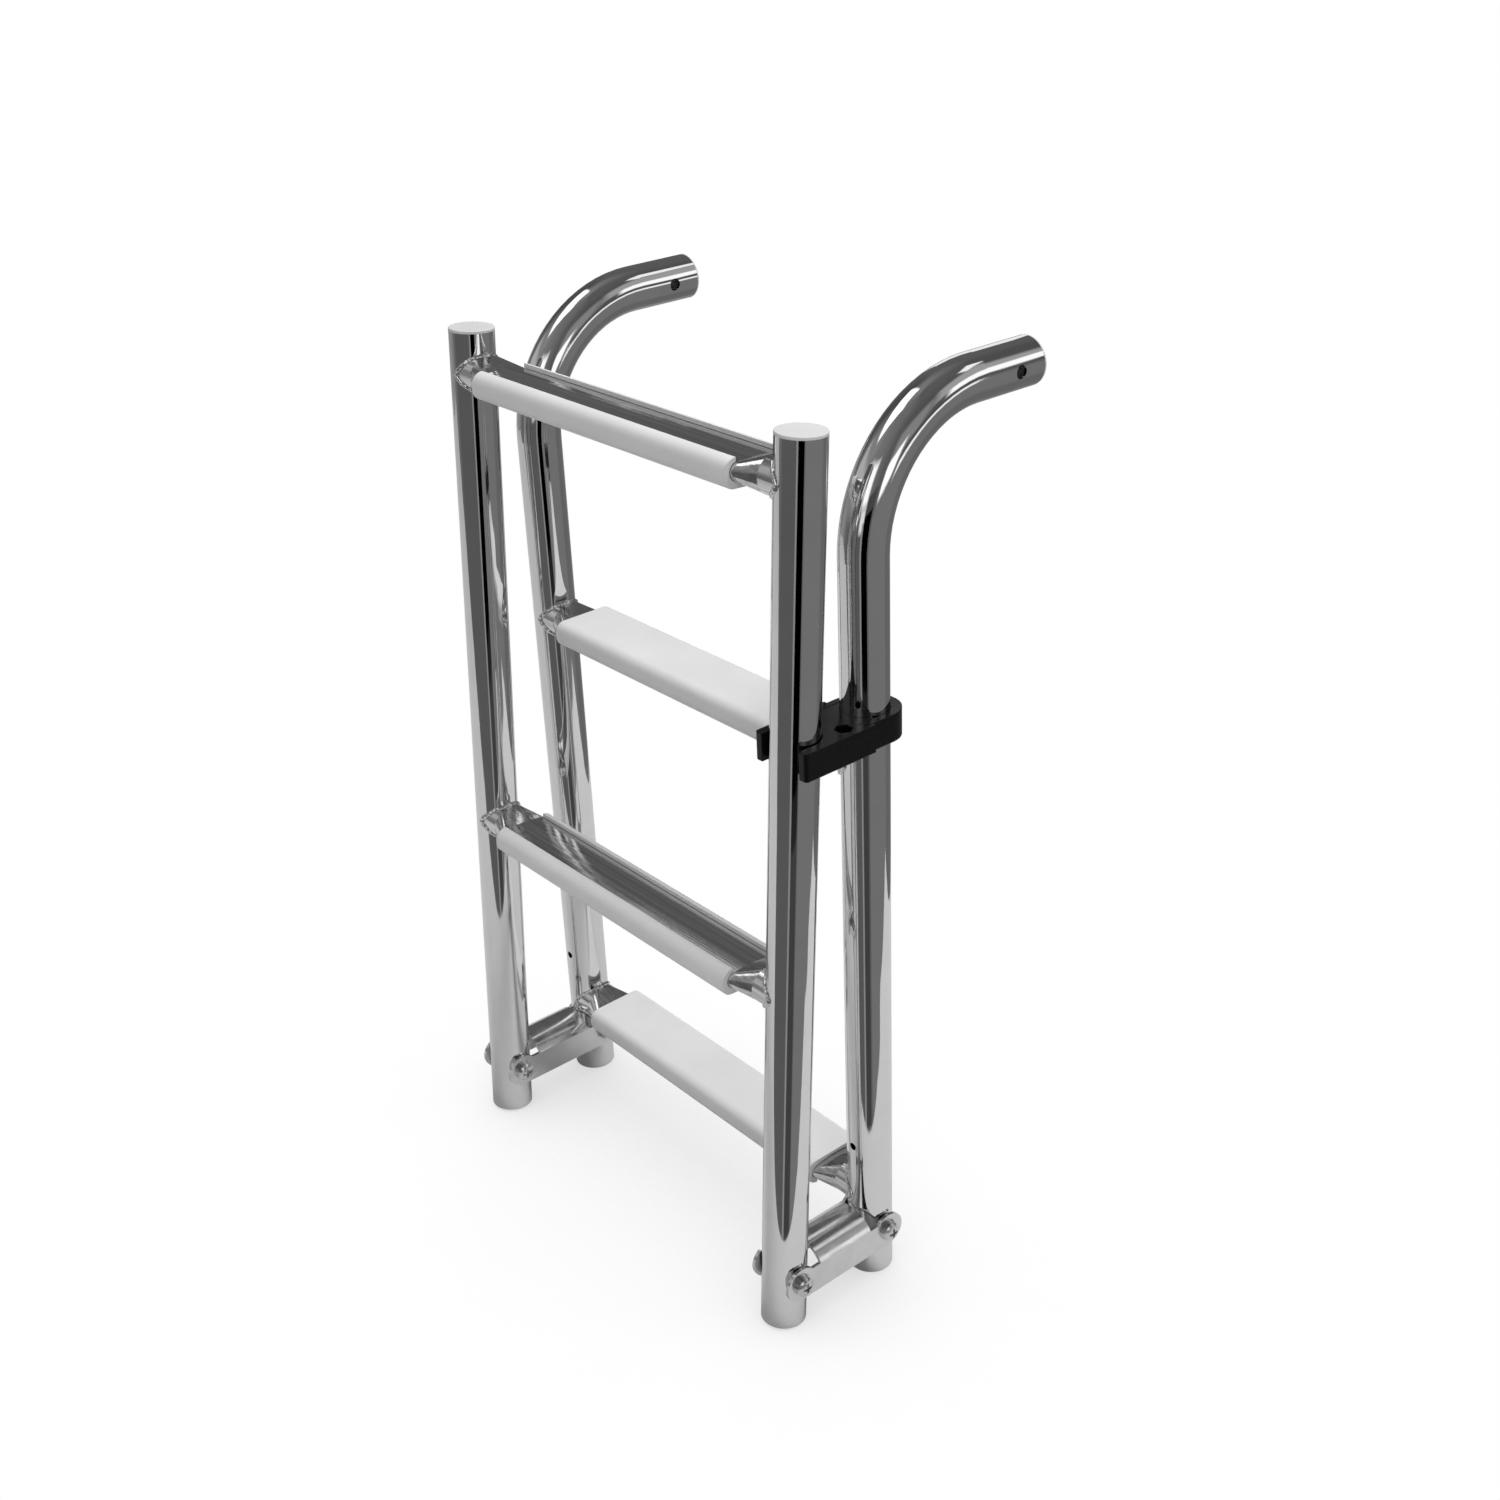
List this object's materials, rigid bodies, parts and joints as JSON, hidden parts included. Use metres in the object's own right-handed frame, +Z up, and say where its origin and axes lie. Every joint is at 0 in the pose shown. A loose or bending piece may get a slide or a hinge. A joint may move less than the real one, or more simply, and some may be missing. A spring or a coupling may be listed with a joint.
{
  "type": "folding swim ladder",
  "caption": "Folding boarding ladder of polished tube: a hooked upper section and a lower section that swings down on two hinge links, with plastic treads and a side clip.",
  "frame": {"origin": "on the floor under the middle of the folded ladder's footprint", "axes": "+Z up along the main rails, +Y from the folded section towards the ends of the deck hooks, +X across the ladder"},
  "size_m": [0.3077, 0.1958, 0.5207],
  "materials": {
    "tube_steel": "polished stainless tube with fine drawing lines",
    "link_steel": "pressed sheet, polished on the crown",
    "bolt_steel": "bright fasteners, slightly worn",
    "tread_plastic": "moulded white plastic, satin",
    "cap_plastic": "moulded white plastic, satin",
    "clip_plastic": "moulded black plastic, satin"
  },
  "bodies": {
    "main_section": {"main_rail_left": "tube_steel", "main_rail_right": "tube_steel", "main_lower_rung": "tube_steel", "main_upper_rung": "tube_steel", "main_lower_tread": "tread_plastic", "main_upper_tread": "tread_plastic", "hook_plug_left": "cap_plastic", "hook_plug_right": "cap_plastic", "clip_jaw": "clip_plastic", "clip_band": "clip_plastic"},
    "hinge_links": {"hinge_link_left": "link_steel", "hinge_link_right": "link_steel", "main_pivot_bolt_left": "bolt_steel", "main_pivot_washer_left": "bolt_steel", "main_pivot_nut_left": "bolt_steel", "fold_pivot_bolt_left": "bolt_steel", "fold_pivot_washer_left": "bolt_steel", "fold_pivot_nut_left": "bolt_steel", "main_pivot_bolt_right": "bolt_steel", "main_pivot_washer_right": "bolt_steel", "main_pivot_nut_right": "bolt_steel", "fold_pivot_bolt_right": "bolt_steel", "fold_pivot_washer_right": "bolt_steel", "fold_pivot_nut_right": "bolt_steel"},
    "folding_section": {"fold_rail_left": "tube_steel", "fold_rail_right": "tube_steel", "fold_lower_rung": "tube_steel", "fold_upper_rung": "tube_steel", "fold_lower_tread": "tread_plastic", "fold_upper_tread": "tread_plastic", "fold_cap_left": "cap_plastic", "fold_cap_right": "cap_plastic"}
  },
  "joints": [
    {"name": "link_fold", "type": "hinge", "parent": "main_section", "child": "hinge_links", "pos_m": [0, -0.01747, 0.03], "axis": [1, 0, 0], "range_deg": [0, 90.6]},
    {"name": "section_fold", "type": "hinge", "parent": "hinge_links", "child": "folding_section", "pos_m": [0, -0.08347, 0.0307], "axis": [1, 0, 0], "range_deg": [0, 92.8]}
  ]
}
